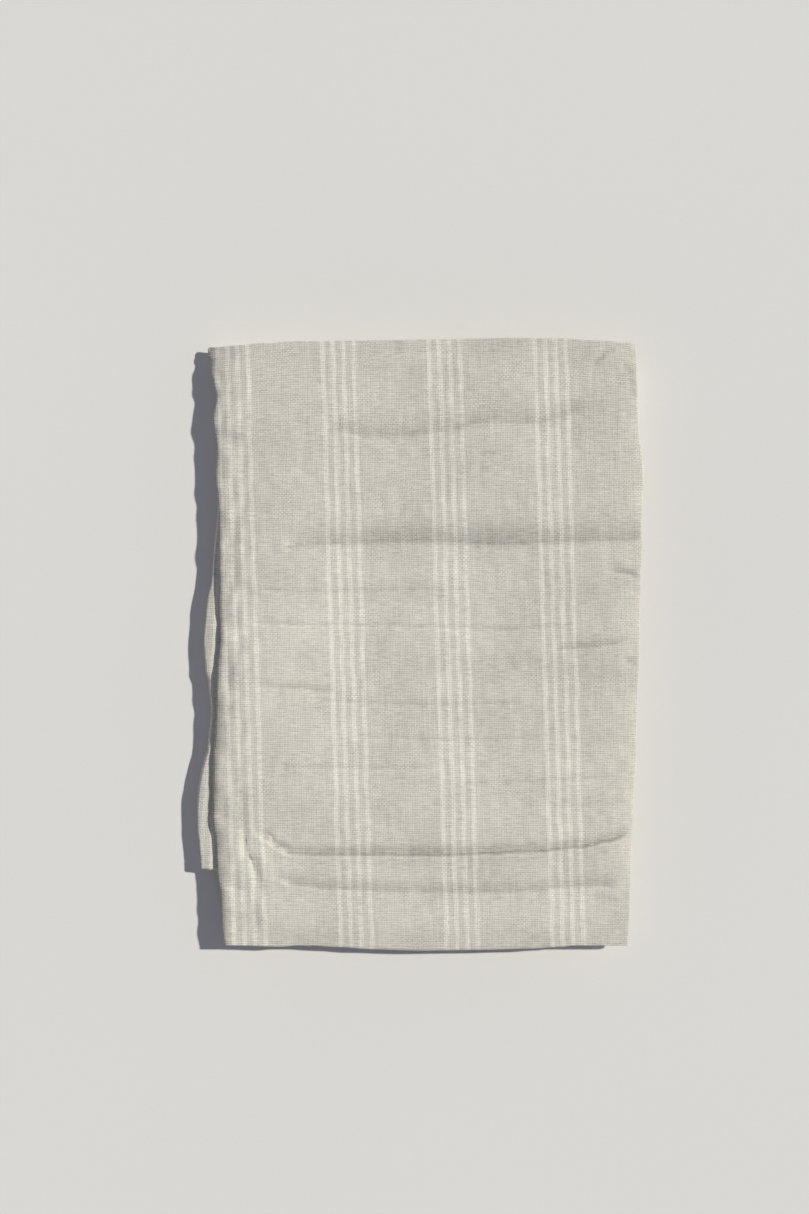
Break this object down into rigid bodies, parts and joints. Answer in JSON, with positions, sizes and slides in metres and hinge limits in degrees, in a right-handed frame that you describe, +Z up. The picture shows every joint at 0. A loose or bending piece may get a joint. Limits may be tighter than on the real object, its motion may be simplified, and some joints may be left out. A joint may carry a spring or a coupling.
{
  "type": "baby wrap",
  "caption": "Long striped gauze baby wrap, folded end to end, in thirds across its width and back and forth along its length into a flat packet whose sections unfold.",
  "frame": {"origin": "bottom centre of the folded packet's box, on the surface that it lies on", "axes": "+Y along the packet, towards the end with the slanted fold and the wrap's middle; +X across it, so that the lower sections stick out at -X; +Z up"},
  "size_m": [0.2456, 0.335, 0.0167],
  "materials": {
    "gauze": "pale stone-grey cotton gauze, open plain weave, with thin off-white stripes in groups of four",
    "thread": "matt off-white overlock thread",
    "marker_tape": "off-white herringbone tape",
    "label_tape": "blank white satin tape"
  },
  "bodies": {
    "section_1": {"section_1_outer_cloth": "gauze", "section_1_inner_cloth": "gauze", "section_1_rail_overlock": "thread", "fold_crease_1": "gauze", "outer_tail_hem": "gauze", "inner_tail_hem": "gauze", "care_label": "label_tape"},
    "section_2": {"section_2_outer_cloth": "gauze", "section_2_inner_cloth": "gauze", "section_2_rail_overlock": "thread", "fold_crease_2": "gauze"},
    "section_3": {"section_3_outer_cloth": "gauze", "section_3_inner_cloth": "gauze", "section_3_rail_overlock": "thread", "fold_crease_3": "gauze"},
    "section_4": {"section_4_outer_cloth": "gauze", "section_4_inner_cloth": "gauze", "section_4_rail_overlock": "thread", "fold_crease_4": "gauze"},
    "section_5": {"section_5_outer_cloth": "gauze", "section_5_inner_cloth": "gauze", "section_5_rail_overlock": "thread", "fold_crease_5": "gauze"},
    "section_6": {"section_6_outer_cloth": "gauze", "section_6_inner_cloth": "gauze", "section_6_rail_overlock": "thread", "fold_crease_6": "gauze"},
    "section_7": {"section_7_outer_cloth": "gauze", "section_7_inner_cloth": "gauze", "section_7_rail_overlock": "thread", "middle_marker_flap_rail": "marker_tape", "middle_marker_tucked_rail": "marker_tape"}
  },
  "joints": [
    {"name": "fold_1", "type": "hinge", "parent": "section_1", "child": "section_2", "pos_m": [0.00715, 0.1583, 0.00237], "axis": [-0.9986, 0.0523, 0], "range_deg": [0, 180]},
    {"name": "fold_2", "type": "hinge", "parent": "section_2", "child": "section_3", "pos_m": [-0.00792, -0.12931, 0.00477], "axis": [0.9986, -0.0523, 0], "range_deg": [0, 180]},
    {"name": "fold_3", "type": "hinge", "parent": "section_3", "child": "section_4", "pos_m": [0.00715, 0.1583, 0.00717], "axis": [-0.9986, 0.0523, 0], "range_deg": [0, 180]},
    {"name": "fold_4", "type": "hinge", "parent": "section_4", "child": "section_5", "pos_m": [-0.00792, -0.12931, 0.00957], "axis": [0.9986, -0.0523, 0], "range_deg": [0, 180]},
    {"name": "fold_5", "type": "hinge", "parent": "section_5", "child": "section_6", "pos_m": [0.00531, 0.1614, 0.01197], "axis": [-0.9997, 0.0262, 0], "range_deg": [0, 180]},
    {"name": "fold_6", "type": "hinge", "parent": "section_6", "child": "section_7", "pos_m": [0.00531, -0.1665, 0.01437], "axis": [1, 0, 0], "range_deg": [0, 180]}
  ],
  "couplings": [
    {"joint": "fold_2", "follows": "fold_1", "ratio": 1},
    {"joint": "fold_3", "follows": "fold_1", "ratio": 1},
    {"joint": "fold_4", "follows": "fold_1", "ratio": 1},
    {"joint": "fold_5", "follows": "fold_1", "ratio": 1}
  ]
}
